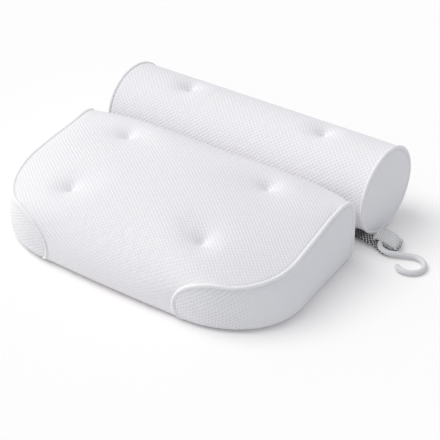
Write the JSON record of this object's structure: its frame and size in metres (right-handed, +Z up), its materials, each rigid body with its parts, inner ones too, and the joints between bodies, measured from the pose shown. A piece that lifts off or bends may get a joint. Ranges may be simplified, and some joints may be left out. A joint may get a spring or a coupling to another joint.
{
  "type": "bath pillow",
  "caption": "Two-section bath pillow: crowned, tufted air-mesh back pad with a neck roll hinged behind it, suction cups underneath and a hook on a strap.",
  "frame": {"origin": "under the middle of the whole pillow with its hanger, on the plane of the suction cups' rims", "axes": "+X along the roll towards the hook, +Y from the pad's front towards the roll, +Z up"},
  "size_m": [0.4414, 0.331, 0.1037],
  "materials": {
    "mesh": "white knitted air mesh with small open cells",
    "gusset": "white fine close-knit cloth",
    "piping": "white cloth piping over a round cord",
    "foam": "open-cell polyurethane foam",
    "thread": "twisted white sewing thread",
    "cup": "soft clear vinyl, glossy",
    "tape": "pale grey net tape with a ribbed face",
    "hook": "pale grey satin moulded plastic"
  },
  "bodies": {
    "pad": {"pad_core": "foam", "pad_top_cover": "mesh", "pad_back_cover": "mesh", "pad_gusset_right": "gusset", "pad_gusset_left": "gusset", "pad_piping_right": "piping", "pad_piping_left": "piping", "pad_stitch_rear_left": "thread", "pad_cup_rear_left": "cup", "pad_stitch_rear_right": "thread", "pad_cup_rear_right": "cup", "pad_stitch_front_left": "thread", "pad_cup_front_left": "cup", "pad_stitch_front_right": "thread", "pad_cup_front_right": "cup"},
    "roll": {"roll_core": "foam", "roll_wrap": "mesh", "roll_end_right": "gusset", "roll_end_left": "gusset", "roll_piping_right": "piping", "roll_piping_left": "piping", "roll_stitch_left": "thread", "roll_cup_left": "cup", "roll_stitch_right": "thread", "roll_cup_right": "cup", "hinge_web": "gusset", "strap_tail": "tape"},
    "strap": {"strap_loop": "tape"},
    "hook": {"hook": "hook"}
  },
  "joints": [
    {"name": "roll_fold", "type": "hinge", "parent": "pad", "child": "roll", "pos_m": [0, 0.05549, 0.0065], "axis": [-1, 0, 0], "range_deg": [0, 90]},
    {"name": "strap_lift", "type": "hinge", "parent": "roll", "child": "strap", "pos_m": [0.14736, 0.07529, 0.00775], "axis": [0, -1, 0], "range_deg": [0, 45]},
    {"name": "hook_swing", "type": "hinge", "parent": "strap", "child": "hook", "pos_m": [0.15621, 0.07949, 0.00575], "axis": [0, -1, 0], "range_deg": [0, 45]}
  ]
}
